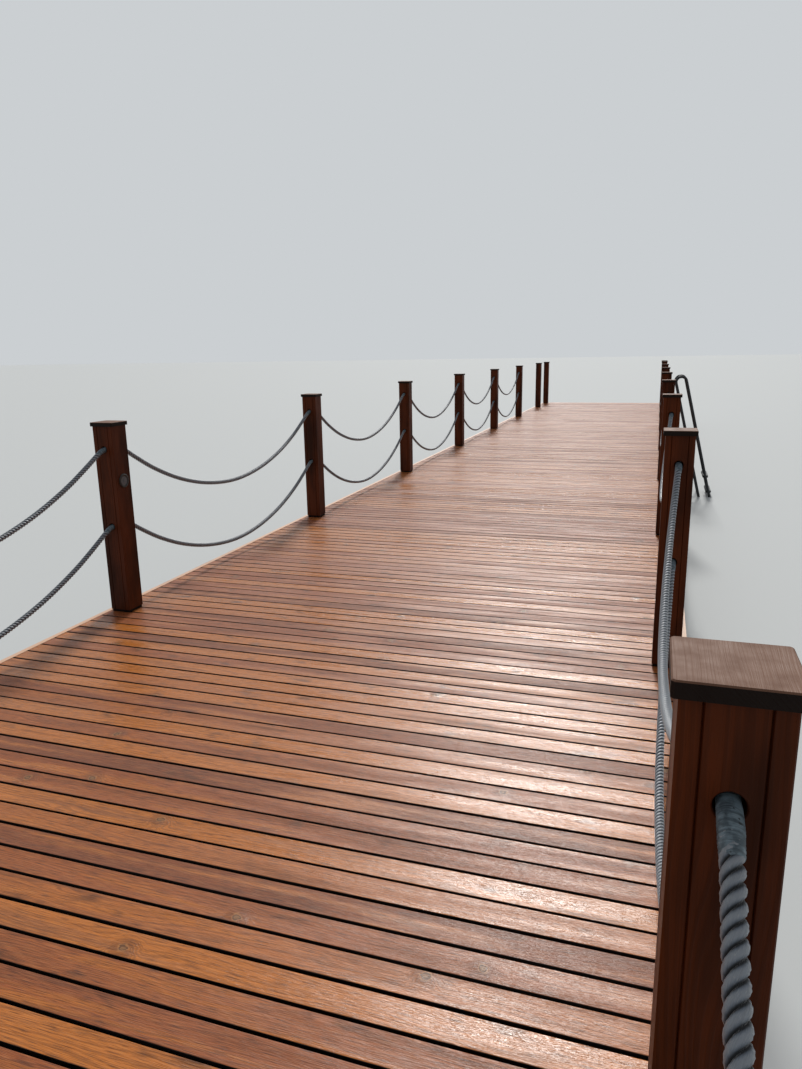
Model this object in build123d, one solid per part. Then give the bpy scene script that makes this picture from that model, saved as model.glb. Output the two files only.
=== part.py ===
"""A wooden jetty: a boarded deck on piles, with boxed rail posts, slack three-strand ropes between
them, a round post light and a bent-tube bathing ladder near the head. Millimetres, +Z up.

+X is the right-hand side for someone walking out along the deck, +Y points out to the jetty head,
and Z = 0 is the water line, where the piles and the ladder end. The pieces are drawn with X = 0 on
the deck's middle line, and written with it on the middle of the whole width, ladder included.
"""
from build123d import *
import os
from math import cos, pi, radians, tan

# Deck and its levels
WALKWAY_CLEAR = 2892      # between the inner faces of the two post rows
DECK_HEIGHT = 500         # top of the deck above the water line
BOARD_THICKNESS = 28
BOARD_GAP = 8             # open joint between deck boards
BOARD_OVERHANG = 15       # board ends beyond the outer faces of the posts
BAY = 2720                # from one post to the next in the roped bays
ROPED_BAYS = 7
LONG_BAY = 2910           # the open bay after the roped ones
HEAD_BAY = 1440           # the short open bay at the head
SHORE_LANDING = 200       # deck before the first posts
HEAD_LANDING = 155        # deck beyond the last posts

# Rail posts: timber boxes with a flat cap
POST_WIDTH = 125
POST_HEIGHT = 1078        # above the deck, without the cap
POST_ARRIS = 2            # chamfer along the post's corners
SIDE_BOARD = 27           # thickness of the two full-width side boards
JOINT_GROOVE = 2          # V-groove where a side board meets the front board
FOOT_HEIGHT = 14          # set-back foot that leaves a dark line above the deck
FOOT_INSET = 5
CAP_THICKNESS = 22
CAP_OVERHANG = 9
CAP_ARRIS = 4

# Ropes and the blind holes that they end in
ROPE_DIAMETER = 28
HOLE_DIAMETER = 38
HOLE_DEPTH = 52
HOLE_ARRIS = 1.5
UPPER_HOLE = 950          # above the deck
LOWER_HOLE = 510
LEFT_SWING = 0.03         # how far a breeze holds a rope to the left, per unit of drop
UPPER_SWING = 0.12        # the same for the right-hand side's ropes
LOWER_SWING = 0.08
CALM_BAY_NUMBER = 1       # on the right-hand side, where the ropes hang straight

# Frame under the deck
FASCIA_THICKNESS = 28
FASCIA_DEPTH = 173
JOIST_WIDTH = 48
JOIST_DEPTH = 145
JOIST_COUNT = 6
BEARER_WIDTH = 150
BEARER_DEPTH = 150
BEARER_INSET = 40         # bearer ends behind the fascia
PILE_DIAMETER = 200
PILE_SPACING = 2300       # centre to centre across the deck

# Bathing ladder: two bent tubes, leaning out from the deck
LADDER_BAY_NUMBER = 5     # its bay on the right-hand side, where no rope hangs
LADDER_TO_POST = 640      # ladder's middle to the next post
LADDER_WIDTH = 450
LADDER_TUBE = 34
LADDER_WALL = 3
LADDER_LEG_GAP = 133      # between the two legs of one bent tube, measured level
LADDER_TOP = 1050         # middle line of the bend above the deck
LADDER_LEAN = 14          # degrees from upright
LADDER_TOP_OFFSET = -10   # inner leg's middle line at the bend, out from the fascia
TREAD_DEPTH = 68
TREAD_THICKNESS = 30
TREAD_DROPS = (230, 430)  # treads below the deck
ARM_DIAMETER = 30
ARM_DROP = 90             # arm's middle line below the deck
FLANGE_DIAMETER = 90
FLANGE_THICKNESS = 8

# Round light let on to the inner face of one post
LIGHT_POST = 3            # counted from the shore, on the left-hand side
LIGHT_HEIGHT = 768
LIGHT_DIAMETER = 80
LIGHT_PROUD = 7
LENS_DIAMETER = 50

# A hanging rope: share of the clear span between two posts, and drop below the hole
ROPE_ROUTE = [(0, 0), (0.0175, 18), (0.058, 80), (0.127, 176), (0.231, 284), (0.358, 366),
              (0.5, 401), (0.642, 366), (0.769, 284), (0.873, 176), (0.942, 80), (0.9825, 18),
              (1, 0)]

SEAT_GAP = 0.2            # clearance round a tube in the hole that holds it

HALF_CLEAR = WALKWAY_CLEAR / 2
POST_OUTER = HALF_CLEAR + POST_WIDTH
DECK_HALF = POST_OUTER + BOARD_OVERHANG
DECK_LENGTH = (SHORE_LANDING + ROPED_BAYS * BAY + LONG_BAY + HEAD_BAY + POST_WIDTH + HEAD_LANDING)
DECK_START = -DECK_LENGTH / 2
BOARD_UNDERSIDE = DECK_HEIGHT - BOARD_THICKNESS
JOIST_UNDERSIDE = BOARD_UNDERSIDE - JOIST_DEPTH
BEARER_UNDERSIDE = JOIST_UNDERSIDE - BEARER_DEPTH
BOTTOM_CENTRE = (Align.CENTER, Align.CENTER, Align.MIN)
TOP_CENTRE = (Align.CENTER, Align.CENTER, Align.MAX)


def station_faces():
    """Y of each post's shoreward face, from the shore to the head."""
    first = DECK_START + SHORE_LANDING
    faces = [first + BAY * index for index in range(ROPED_BAYS + 1)]
    faces.append(faces[-1] + LONG_BAY)
    faces.append(faces[-1] + HEAD_BAY)
    return faces


FACES = station_faces()
POST_CENTRES = [face + POST_WIDTH / 2 for face in FACES]


LEAN = tan(radians(LADDER_LEAN))
FASCIA_FACE = DECK_HALF + FASCIA_THICKNESS
LADDER_Y = FACES[LADDER_BAY_NUMBER] - LADDER_TO_POST
LADDER_BEND_Z = DECK_HEIGHT + LADDER_TOP


def leg_x(z, outer=False):
    """X of a ladder leg's middle line at a height: the inner leg's, or the outer one's."""
    inner = FASCIA_FACE + LADDER_TOP_OFFSET + (LADDER_BEND_Z - z) * LEAN
    return inner + (LADDER_LEG_GAP if outer else 0)


LADDER_REACH = leg_x(0, True) + LADDER_TUBE / 2 / cos(radians(LADDER_LEAN))
MIDDLE_X = (LADDER_REACH - FASCIA_FACE) / 2


def write(shape, node):
    """Writes one sub-part under its node name, about the middle of the whole width."""
    export_step(Pos(-MIDDLE_X, 0, 0) * shape, f"parts/{node}.step")


def post_section():
    """The boxed post's outline, with V-grooves beside the front and back boards."""
    half = POST_WIDTH / 2
    outline = chamfer(Rectangle(POST_WIDTH, POST_WIDTH).vertices(), POST_ARRIS)
    groove = Polygon((-JOINT_GROOVE, 0), (JOINT_GROOVE, 0), (0, JOINT_GROOVE * 2), align=None)
    seam = half - SIDE_BOARD
    for x in (-seam, seam):
        outline -= Pos(x, -half) * groove
        outline -= Pos(x, half) * Rot(0, 0, 180) * groove
    return outline


def post(hole_sides):
    """One post with its base at the origin and rope holes on the faces named by hole_sides."""
    foot = POST_WIDTH - 2 * FOOT_INSET
    body = Box(foot, foot, FOOT_HEIGHT, align=BOTTOM_CENTRE)
    body += Pos(0, 0, FOOT_HEIGHT) * extrude(post_section(), POST_HEIGHT - FOOT_HEIGHT)
    for side in hole_sides:
        for height in (UPPER_HOLE, LOWER_HOLE):
            mouth = Pos(0, side * POST_WIDTH / 2, height) * Rot(90 * side, 0, 0)
            body -= mouth * Cylinder(HOLE_DIAMETER / 2, HOLE_DEPTH, align=BOTTOM_CENTRE)
            body -= mouth * Cone(HOLE_DIAMETER / 2 + HOLE_ARRIS, HOLE_DIAMETER / 2, HOLE_ARRIS,
                                 align=BOTTOM_CENTRE)
    return body


def cap():
    """The flat cap, eased along its top and corner edges."""
    width = POST_WIDTH + 2 * CAP_OVERHANG
    body = Box(width, width, CAP_THICKNESS, align=BOTTOM_CENTRE)
    body = chamfer(body.edges().filter_by(Axis.Z), CAP_ARRIS)
    return chamfer(body.faces().sort_by(Axis.Z)[-1].edges(), CAP_ARRIS / 2)


def roped_bays(side):
    """The bays that hold ropes on one side: all the regular ones, but not the ladder's."""
    return [bay for bay in range(1, ROPED_BAYS + 1) if side < 0 or bay != LADDER_BAY_NUMBER]


def hole_sides(side, station):
    """Faces of a post that ropes enter: -1 towards the shore, +1 towards the head."""
    bays = roped_bays(side)
    faces = [-1] if station - 1 in bays else []
    return faces + ([1] if station in bays else [])


def posts(side):
    """All the posts of one side."""
    x = side * (HALF_CLEAR + POST_WIDTH / 2)
    return [Pos(x, y, DECK_HEIGHT) * post(hole_sides(side, station))
            for station, y in enumerate(POST_CENTRES, 1)]


def caps(side):
    """The caps of one side, seated on the posts."""
    x = side * (HALF_CLEAR + POST_WIDTH / 2)
    return [Pos(x, y, DECK_HEIGHT + POST_HEIGHT) * cap() for y in POST_CENTRES]


def tube(points, diameter):
    """A rope's tube: straight runs and the largest tangent arcs that they leave room for."""
    points = [Vector(*point) for point in points]
    runs = [after - before for before, after in zip(points, points[1:])]
    radii = []
    for before, after in zip(runs, runs[1:]):
        half_turn = radians(before.get_angle(after)) / 2
        radii.append(0.45 * min(before.length, after.length) / tan(half_turn))
    path = FilletPolyline(*points, radius=radii)
    section = Plane(origin=points[0], z_dir=runs[0]) * Circle(diameter / 2)
    body = sweep(section, path=path)
    return body, path.length, radii


def rope(side, bay, height, swing):
    """A rope between two posts, ending against the bottoms of its two holes."""
    x = side * (HALF_CLEAR + POST_WIDTH / 2)
    start = FACES[bay - 1] + POST_WIDTH
    span = BAY - POST_WIDTH
    alongs = [-HOLE_DEPTH] + [span * share for share, drop in ROPE_ROUTE] + [span + HOLE_DEPTH]
    drops = [0] + [drop for share, drop in ROPE_ROUTE] + [0]
    route = [(x - swing * drop, start + along, DECK_HEIGHT + height - drop)
             for along, drop in zip(alongs, drops)]
    return tube(route, ROPE_DIAMETER)


def deck_slabs():
    """The boarded deck of each bay, with an open joint between one bay and the next."""
    breaks = [DECK_START] + POST_CENTRES[1:-1] + [DECK_START + DECK_LENGTH]
    slabs = []
    for index, (near, far) in enumerate(zip(breaks, breaks[1:])):
        near += BOARD_GAP / 2 if index else 0
        far -= BOARD_GAP / 2 if index < len(breaks) - 2 else 0
        slab = Box(2 * DECK_HALF, far - near, BOARD_THICKNESS, align=TOP_CENTRE)
        slabs.append(Pos(0, (near + far) / 2, DECK_HEIGHT) * slab)
    return slabs


def joists():
    """Lengthwise joists under the boards, the outer ones behind the fascias."""
    reach = DECK_HALF - JOIST_WIDTH / 2
    length = DECK_LENGTH
    body = Box(JOIST_WIDTH, length, JOIST_DEPTH, align=TOP_CENTRE)
    step = 2 * reach / (JOIST_COUNT - 1)
    return [Pos(-reach + step * index, 0, BOARD_UNDERSIDE) * body for index in range(JOIST_COUNT)]


def bearers():
    """Cross-bearers under the joists, one below each pair of posts."""
    body = Box(2 * (DECK_HALF - BEARER_INSET), BEARER_WIDTH, BEARER_DEPTH, align=TOP_CENTRE)
    return [Pos(0, y, JOIST_UNDERSIDE) * body for y in POST_CENTRES]


def piles():
    """Round piles from the water line to the bearers."""
    body = Cylinder(PILE_DIAMETER / 2, BEARER_UNDERSIDE, align=BOTTOM_CENTRE)
    return [Pos(x, y, 0) * body for y in POST_CENTRES for x in (-PILE_SPACING / 2, PILE_SPACING / 2)]


def side_fascia(side):
    """The board along one side, its top flush with the deck."""
    body = Box(FASCIA_THICKNESS, DECK_LENGTH, FASCIA_DEPTH, align=TOP_CENTRE)
    return Pos(side * (DECK_HALF + FASCIA_THICKNESS / 2), 0, DECK_HEIGHT) * body


def end_fascia(side):
    """The board across one end, covering the ends of the side boards."""
    body = Box(2 * (DECK_HALF + FASCIA_THICKNESS), FASCIA_THICKNESS, FASCIA_DEPTH, align=TOP_CENTRE)
    return Pos(0, side * (DECK_LENGTH + FASCIA_THICKNESS) / 2, DECK_HEIGHT) * body


def ladder_side(y):
    """One side of the ladder: a tube bent into a narrow upturned U that leans outwards."""
    radius = LADDER_LEG_GAP / 2 * cos(radians(LADDER_LEAN))
    corner_z = LADDER_BEND_Z - radius
    foot_z = -LADDER_TUBE
    inner_foot = Vector(leg_x(foot_z), y, foot_z)
    outer_foot = Vector(leg_x(foot_z, True), y, foot_z)
    inner_top = Vector(leg_x(corner_z), y, corner_z)
    direction = (inner_top - inner_foot).normalized()
    across = Vector(direction.Z, 0, -direction.X)
    outer_top = inner_top + across * radius * 2
    crown = inner_top + across * radius + direction * radius
    path = Curve() + [Line(inner_foot, inner_top), ThreePointArc(inner_top, crown, outer_top),
                      Line(outer_top, outer_foot)]
    section = Plane(origin=inner_foot, z_dir=direction) * (
        Circle(LADDER_TUBE / 2) - Circle(LADDER_TUBE / 2 - LADDER_WALL))
    return sweep(section, path=path)


def ladder_sides():
    """Both sides of the ladder, cut off level at the water line."""
    keep = Pos(0, LADDER_Y, 0) * Box(4 * DECK_HALF, 2 * LADDER_WIDTH, 2 * LADDER_BEND_Z,
                                     align=BOTTOM_CENTRE)
    return [ladder_side(LADDER_Y + side * LADDER_WIDTH / 2) & keep for side in (-1, 1)]


def ladder_treads():
    """Flat treads between the outer legs of the two sides."""
    length = LADDER_WIDTH - LADDER_TUBE
    body = Box(TREAD_DEPTH, length, TREAD_THICKNESS)
    body = fillet(body.edges().filter_by(Axis.Y), TREAD_THICKNESS / 4)
    return [Pos(leg_x(z, True), LADDER_Y, z) * body
            for z in (DECK_HEIGHT - drop for drop in TREAD_DROPS)]


def ladder_arms():
    """Arms that hold the inner legs off the fascia, each on a round flange."""
    z = DECK_HEIGHT - ARM_DROP
    reach = leg_x(z) - LADDER_TUBE / 2 - FASCIA_FACE
    arms = []
    for side in (-1, 1):
        place = Pos(FASCIA_FACE, LADDER_Y + side * LADDER_WIDTH / 2, z) * Rot(0, 90, 0)
        arm = Cylinder(FLANGE_DIAMETER / 2, FLANGE_THICKNESS, align=BOTTOM_CENTRE)
        arm += Cylinder(ARM_DIAMETER / 2, reach + LADDER_TUBE / 2, align=BOTTOM_CENTRE)
        foot = Vector(leg_x(0), place.position.Y, 0)
        head = Vector(leg_x(LADDER_BEND_Z), place.position.Y, LADDER_BEND_Z)
        leg = Plane(origin=foot, z_dir=head - foot) * Cylinder(
            LADDER_TUBE / 2 + SEAT_GAP, LADDER_BEND_Z, align=BOTTOM_CENTRE)
        arms.append(place * arm - leg)
    return arms


def light_ring():
    """The light's dished ring, on the left-hand post's inner face."""
    outer, inner = LIGHT_DIAMETER / 2, LENS_DIAMETER / 2
    profile = Polygon((inner, 0), (outer, 0), (outer, LIGHT_PROUD * 0.5), (outer - 6, LIGHT_PROUD),
                      (inner + 8, LIGHT_PROUD), (inner, LIGHT_PROUD * 0.55), align=None)
    return revolve(Plane.XZ * profile, Axis.Z)


def light_lens():
    """The round lens in the ring, with its middle boss."""
    half = LENS_DIAMETER / 2 - SEAT_GAP
    body = Cylinder(half, LIGHT_PROUD * 0.5, align=BOTTOM_CENTRE)
    boss = Pos(0, 0, LIGHT_PROUD * 0.5) * Cylinder(half / 3, LIGHT_PROUD * 0.25, align=BOTTOM_CENTRE)
    return body + boss


def light_place():
    """Where the light's back meets the post."""
    return Pos(-HALF_CLEAR, POST_CENTRES[LIGHT_POST - 1], DECK_HEIGHT + LIGHT_HEIGHT) * Rot(0, 90, 0)


def main():
    """Builds and writes every sub-part."""
    os.makedirs("parts", exist_ok=True)
    for side, name in ((-1, "left"), (1, "right")):
        write(Compound(posts(side)), f"posts_{name}")
        write(Compound(caps(side)), f"post_caps_{name}")
        write(side_fascia(side), f"fascia_{name}")
        for level, height, most in (("upper", UPPER_HOLE, UPPER_SWING),
                                    ("lower", LOWER_HOLE, LOWER_SWING)):
            for bay in roped_bays(side):
                swing = LEFT_SWING if side < 0 else 0 if bay == CALM_BAY_NUMBER else most
                body, length, radii = rope(side, bay, height, swing)
                write(body, f"rope_{name}_{level}_{bay}")
                share = body.volume / (length * pi * ROPE_DIAMETER ** 2 / 4)
                print(name, level, bay, f"length {length:.0f}, least radius {min(radii):.0f},",
                      f"volume share {share:.4f}")
    write(end_fascia(-1), "fascia_shore")
    write(end_fascia(1), "fascia_head")
    write(Compound(deck_slabs()), "deck")
    write(Compound(joists()), "joists")
    write(Compound(bearers()), "bearers")
    write(Compound(piles()), "piles")
    write(Compound(ladder_sides()), "ladder_sides")
    write(Compound(ladder_treads()), "ladder_treads")
    write(Compound(ladder_arms()), "ladder_arms")
    write(light_place() * light_ring(), "light_ring")
    write(light_place() * light_lens(), "light_lens")


main()
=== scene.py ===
"""Looks of a wooden jetty: boarded deck, boxed rail posts, slack ropes, bathing ladder, post light.

Metres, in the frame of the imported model. +X is the right-hand side of someone walking out along
the deck, +Y points out to the head, and the floor that the piles stand on is at Z = 0.
"""
from math import cos, pi, radians, sin

import bpy
import numpy as np
from bpy.props import FloatProperty, FloatVectorProperty, IntProperty, PointerProperty
from mathutils import Matrix, Vector


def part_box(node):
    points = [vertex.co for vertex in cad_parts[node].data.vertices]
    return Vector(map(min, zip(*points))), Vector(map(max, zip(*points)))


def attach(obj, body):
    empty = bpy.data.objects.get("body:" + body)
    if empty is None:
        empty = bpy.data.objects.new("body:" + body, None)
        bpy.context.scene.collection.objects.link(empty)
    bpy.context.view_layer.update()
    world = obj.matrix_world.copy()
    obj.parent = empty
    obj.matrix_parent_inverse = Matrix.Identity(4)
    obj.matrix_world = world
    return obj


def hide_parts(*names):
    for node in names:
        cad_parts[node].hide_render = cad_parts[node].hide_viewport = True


bl_info = {
    "name": "Wooden Jetty",
    "version": (1, 0, 0),
    "blender": (4, 5, 0),
    "location": "View3D > Sidebar > Jetty",
    "description": "Dresses a wooden jetty with boards, timber, ropes and metal",
    "category": "Object",
}

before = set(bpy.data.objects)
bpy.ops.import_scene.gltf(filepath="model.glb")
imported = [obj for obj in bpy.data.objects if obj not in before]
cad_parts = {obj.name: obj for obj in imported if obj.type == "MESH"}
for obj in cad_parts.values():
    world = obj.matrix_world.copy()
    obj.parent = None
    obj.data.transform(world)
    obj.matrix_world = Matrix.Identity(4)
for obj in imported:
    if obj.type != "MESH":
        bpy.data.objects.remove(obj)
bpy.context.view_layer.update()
DECK_LOW, DECK_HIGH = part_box("deck")
DECK_MIDDLE = (DECK_LOW.x + DECK_HIGH.x) / 2

# Where the ropes' holes are: each post's shoreward face, the post itself, and the holes' heights
POST_FACES = [-11.735, -9.015, -6.295, -3.575, -0.855, 1.865, 4.585, 7.305, 10.215, 11.655]
POST_WIDTH = 0.125
POST_OFFSET = 1.5085        # deck's middle line to a post's
HOLE_HEIGHTS = {"upper": 1.45, "lower": 1.01}
LEFT_SWING = 0.03           # how far a breeze holds a rope to the left, per unit of drop
RIGHT_SWINGS = {"upper": 0.12, "lower": 0.08}
CALM_BAY = 1                # on the right-hand side, where the ropes hang straight

# A hanging rope's route: distance from the post's face, and drop below the hole
ROPE_ROUTE = [(-0.052, 0.0), (0.0, 0.0), (0.0454, 0.018), (0.1505, 0.080), (0.3296, 0.176),
              (0.5994, 0.284), (0.9290, 0.366), (1.2975, 0.401), (1.6660, 0.366),
              (1.9956, 0.284), (2.2654, 0.176), (2.4445, 0.080), (2.5496, 0.018), (2.595, 0.0),
              (2.647, 0.0)]
ROPED_BAYS = {"left": (1, 2, 3, 4, 5, 6, 7), "right": (1, 2, 3, 4, 6, 7)}
NEAR_BAYS = (1, 2, 3)       # seen from close by, so their strands have more rings
NEAR_RINGS, FAR_RINGS = 14, 8   # rings of a strand in one turn of it
LINE_STEPS = 16             # of a rope's middle line, from one point of its route to the next
TANGENT_STEP = 0.004        # a rope's direction is measured over twice this

# A strand's middle is this share of the rope's radius out, and its rings have points at these
# angles in degrees from straight out, with most of them where they show
HELIX_SHARE = 0.51
STRAND_ANGLES = np.array([-115.0, -80.0, -48.0, -16.0, 16.0, 48.0, 80.0, 115.0, 180.0])

# A wrapped end, with places on it as shares of its length: where the tape's wrinkles start, are
# full, start to go and are gone, where it begins to narrow, and its rings
WRINKLED = (0.6, 0.8, 0.96, 0.99)
NARROWS_FROM = 0.7
SLEEVE_SHARES = np.concatenate([np.linspace(0.0, WRINKLED[0], 8)[:-1],
                                np.linspace(WRINKLED[0], 0.985, 17), [1.0]])
SLEEVE_POINTS = 18          # round each ring
OVAL, OVAL_TURN = 0.0005, 40        # how oval it is, and how fast that turns along it
WRINKLE, WRINKLE_PACE = 0.0006, 1250    # height of the wrinkles, and radians of them in a metre
NARROWING = 0.0012          # how much thinner it is at its open end
CLOSED_SHARE = 0.31         # radius that closes on to the strands, per diameter of the rope

# Deck boards: spread and limit of how far each rolls, lies low and is cupped, and its ends
SEED = 41
FLAT_FROM = 2.2             # edge radii in from a board's side, where its flat top starts
ROLL_SPREAD, ROLL_MOST = radians(0.5), 0.013
DROP_SPREAD, DROP_MOST = 0.0003, 0.0008
CUP_SPREAD, CUP_MOST = 0.0006, 0.0012
END_RINGS = np.array([0.0, 0.0025, 0.0080])     # their distances from a board's end
END_EASE = np.array([0.0018, 0.0, 0.0])     # how much smaller the section is at each
EASED_DEPTH = 0.02          # only the part of a section above this is let down at its ends
GRAIN_RANGE = 40.0          # metres of grain, along and across, from which boards are cut
BOARD_CREASE, BOLT_CREASE = radians(40), radians(30)    # faces that meet at more look sharp

# Heights above the floor, with noise added to the last two, over which a finish changes
FOOT_SHADE = (0.518, 0.512)  # posts are set back below this, and painted black there as the shade of that recess
FASCIA_WORN, FASCIA_RAGGED = (0.502, 0.5085), 0.020     # the second is the noise's height
WEED, WEED_RAGGED = (0.185, 0.125), 0.15

# Flat-sawn grain, in mm, with knots measured in their own size
MM = 1000                   # in a metre
KNOT_SIZE = 21
KNOT_RAGGED = 0.19          # unevenness of a knot's outline
KNOT_REACH = 3.2            # how far out the rings bend round a knot
KNOT_BEND = 42              # how far they bend
GRAIN_DRIFT = 110           # how far slow noise pushes the rings about
CLOUD_LOW, CLOUD_HIGH = 0.3, 0.7    # most of a cloudy pattern lies between these

# Ladder flanges and their bolts
FLANGE = 0.008              # thickness
LADDER_HALF = 0.225         # ladder's middle to each flange's
BOLT_CIRCLE = 0.031         # bolts' distance from a flange's middle
BOLT_FLAT = 0.0065          # middle of a head to its flats
BOLT_CORNERS = pi / 3       # from one of its corners to the next
# Rings from a washer's foot to the chamfered top of a head: distance from the flange, and radius,
# which is None where the outline is the hexagon's
BOLT_RINGS = [(0.0, 0.0080), (0.0012, 0.0080), (0.0016, 0.0076), (0.0016, None), (0.0062, None),
              (0.0068, 0.0062)]
BOLT_TURNS = np.radians([45, 135, 225, 315])    # where the bolts are round a flange

# The photograph's view: the camera's place, and degrees that it is turned down, left and over
CAMERA_PLACE = (1.1425, -9.8671, 1.9572)
CAMERA_DOWN, CAMERA_LEFT, CAMERA_OVER = 13.347, 18.314, 1.0
LONG_SIDE = 36.0            # sensor, in mm
SIGHT_LIMIT = 400.0

# The broad lamp: degrees to the left of straight out, above the horizon, and across
KEY_LEFT, KEY_HEIGHT, KEY_WIDTH = 7.7, 39.5, 9.0
KEY_TINT = (1.0, 0.985, 0.955)
FLOOR_REACH = 160.0         # middle of the floor to its sides


def linear(code):
    """Linear colour of an sRGB hex code. A part c is c / 12.92 up to 0.04045, and above that
    (c + 0.055) / 1.055 to the power of 2.4."""
    parts = [int(code[at:at + 2], 16) / 255 for at in (1, 3, 5)]
    return [c / 12.92 if c <= 0.04045 else ((c + 0.055) / 1.055) ** 2.4 for c in parts] + [1.0]


def colour(label, words, code):
    """A colour setting, with its default written as a hex code."""
    return FloatVectorProperty(name=label, description=words, subtype="COLOR", size=4,
                               min=0.0, max=1.0, default=linear(code))


def length(label, words, size):
    """A length setting in metres."""
    return FloatProperty(name=label, description=words, default=size, min=0.0, unit="LENGTH",
                         precision=4)


class JettyDeck(bpy.types.PropertyGroup):
    """Sizes and colours of the deck boards."""
    boards: IntProperty(name="Boards", description="Boards from the shore to the head",
                        default=253, min=10)
    gap: length("Gap", "Open joint between boards", 0.0100)
    edge: length("Edge radius", "Rounding along a board's top edges", 0.0018)
    amber: colour("Amber", "Lightest stained boards", "#C67530")
    russet: colour("Russet", "Most of the boards", "#9D5327")
    plum: colour("Plum", "Darkest boards", "#72422B")
    knot: colour("Knot", "Dark grain, smudges and outlines of knots", "#2C150B")
    pale: colour("Pale grain", "Raised grain and rims of knots", "#C08A55")
    # Painted shade: near-black laid on every board's sides, over old stain, so the joints look
    # black
    sides: colour("Sides", "Old stain and dirt down the sides of a board", "#0E0705")


class JettyTimber(bpy.types.PropertyGroup):
    """Colours of the posts, caps, fascias and the frame under the deck."""
    post: colour("Post", "Stained post boards", "#5B290F")
    post_dark: colour("Post grain", "Late wood of the post boards", "#2F1407")
    post_knot: colour("Post knot", "Knots in the post boards", "#1E0C06")
    # Painted shade: the black of the recess under each post
    post_foot_shade: colour("Post foot", "Damp foot of a post", "#0D0704")
    cap: colour("Cap", "Sun-bleached cap tops", "#7B5946")
    cap_dark: colour("Cap grain", "Late wood on the cap tops", "#664737")
    # Painted shade: nearly black on the caps' sides, over their darker old stain
    cap_edge_shade: colour("Cap edge", "Old stain round the caps", "#140A05")
    fascia: colour("Fascia", "Stain left on the fascias", "#8A5130")
    fascia_worn: colour("Fascia edge", "Worn top edge of the fascias", "#D9AE8E")
    frame_pale: colour("Frame", "Rough-sawn frame timber", "#8B7458")
    frame_dark: colour("Frame grain", "Damp and grain of the frame timber", "#5A4836")
    tide: colour("Tide mark", "Weed on the piles by the water", "#2F3322")


class JettyRopes(bpy.types.PropertyGroup):
    """Sizes and colours of the ropes."""
    diameter: length("Diameter", "Across the three strands", 0.028)
    lay: length("Lay", "Length in which a strand goes once round", 0.0555)
    sleeve: length("Sleeve", "Across the wrapped end", 0.0290)
    sleeve_length: length("Sleeve length", "Wrapped end outside the post", 0.064)
    fibre: colour("Fibre", "Weathered fibre on the strands", "#626D7B")
    # Dirt in the yarns, and painted shade down into the grooves between the strands
    fibre_dirt_and_shade: colour("Groove", "Dirt between the strands", "#15181B")
    faded: colour("Dulled fibre", "Patches that have weathered more", "#555D68")
    fluff: colour("Fluff", "Broken fibres that stand off the yarns", "#D2CFC6")
    # Painted highlight on the strands' crowns, over fibre that rubbing has paled
    crown: colour("Crown", "Rubbed crowns of the strands", "#C4C6C6")
    wrap: colour("Wrap", "Wrapped ends", "#6A7B84")
    # Grime, and painted shade in the creases of the wrapped ends
    wrap_grime_and_crease_shade: colour("Wrap grime", "Grime and creases on the wrapped ends", "#333F46")
    wrap_pale: colour("Wrap wear", "Cleaner patches of the wrapped ends", "#7E8D94")
    wrap_spot: colour("Wrap spots", "Tar spots on the wrapped ends", "#11171A")


class JettyMetal(bpy.types.PropertyGroup):
    """Colours of the ladder and the post light."""
    tube: colour("Tube", "Ladder tubes", "#222427")
    bolt: colour("Bolt", "Bolt heads on the ladder's flanges", "#6E7275")
    ring: colour("Ring", "Post light's ring", "#2B2927")
    lens: colour("Lens", "Frosted lens", "#47474A")
    salt: colour("Salt", "Salt marks on the paint", "#6A6E70")
    rust: colour("Run-off", "Brown run-off down the paint", "#4E4036")
    speck: colour("Specks", "Dirt in the lens's frosting", "#3E4347")


class JettyStage(bpy.types.PropertyGroup):
    """Camera, lamps and floor."""
    focal: FloatProperty(name="Focal length", description="Lens for a 36 mm long side",
                         default=26.08, min=5.0, unit="CAMERA")
    key: FloatProperty(name="Key", description="Strength of the broad lamp beyond the head",
                       default=2.75, min=0.0)
    fill: FloatProperty(name="Fill", description="Strength of the light from all round",
                        default=0.37, min=0.0)
    fill_tint: colour("Fill tint", "Colour of the light from all round", "#F2F5FA")
    floor: colour("Floor", "Plain pale floor", "#C9CCCC")
    sky: colour("Backdrop", "Plain pale backdrop", "#CBCFD2")


class JettySettings(bpy.types.PropertyGroup):
    """All the settings of the jetty."""
    deck: PointerProperty(type=JettyDeck)
    timber: PointerProperty(type=JettyTimber)
    ropes: PointerProperty(type=JettyRopes)
    metal: PointerProperty(type=JettyMetal)
    stage: PointerProperty(type=JettyStage)


def solid(name, points, *face_sets):
    """A mesh from an array of points and arrays of faces, each array with one number of corners."""
    corners = np.concatenate([faces.ravel() for faces in face_sets]).astype(np.int32)
    counts = np.concatenate([np.full(len(faces), faces.shape[1]) for faces in face_sets])
    starts = np.concatenate([[0], np.cumsum(counts)[:-1]]).astype(np.int32)
    mesh = bpy.data.meshes.new(name)
    mesh.vertices.add(len(points))
    mesh.vertices.foreach_set("co", np.asarray(points, np.float32).ravel())
    mesh.loops.add(len(corners))
    mesh.loops.foreach_set("vertex_index", corners)
    mesh.polygons.add(len(counts))
    mesh.polygons.foreach_set("loop_start", starts)
    mesh.polygons.foreach_set("use_smooth", np.ones(len(counts), bool))
    mesh.update(calc_edges=True)
    if mesh.validate():
        raise RuntimeError(f"{name} had faces that Blender couldn't take")
    return mesh


def lay_out(mesh, name, across, along):
    """Gives a mesh a UV map from one pair of values for each face corner, in metres."""
    layer = mesh.uv_layers.new(name=name)
    layer.data.foreach_set("uv", np.stack([across, along], 1).astype(np.float32).ravel())


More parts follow.
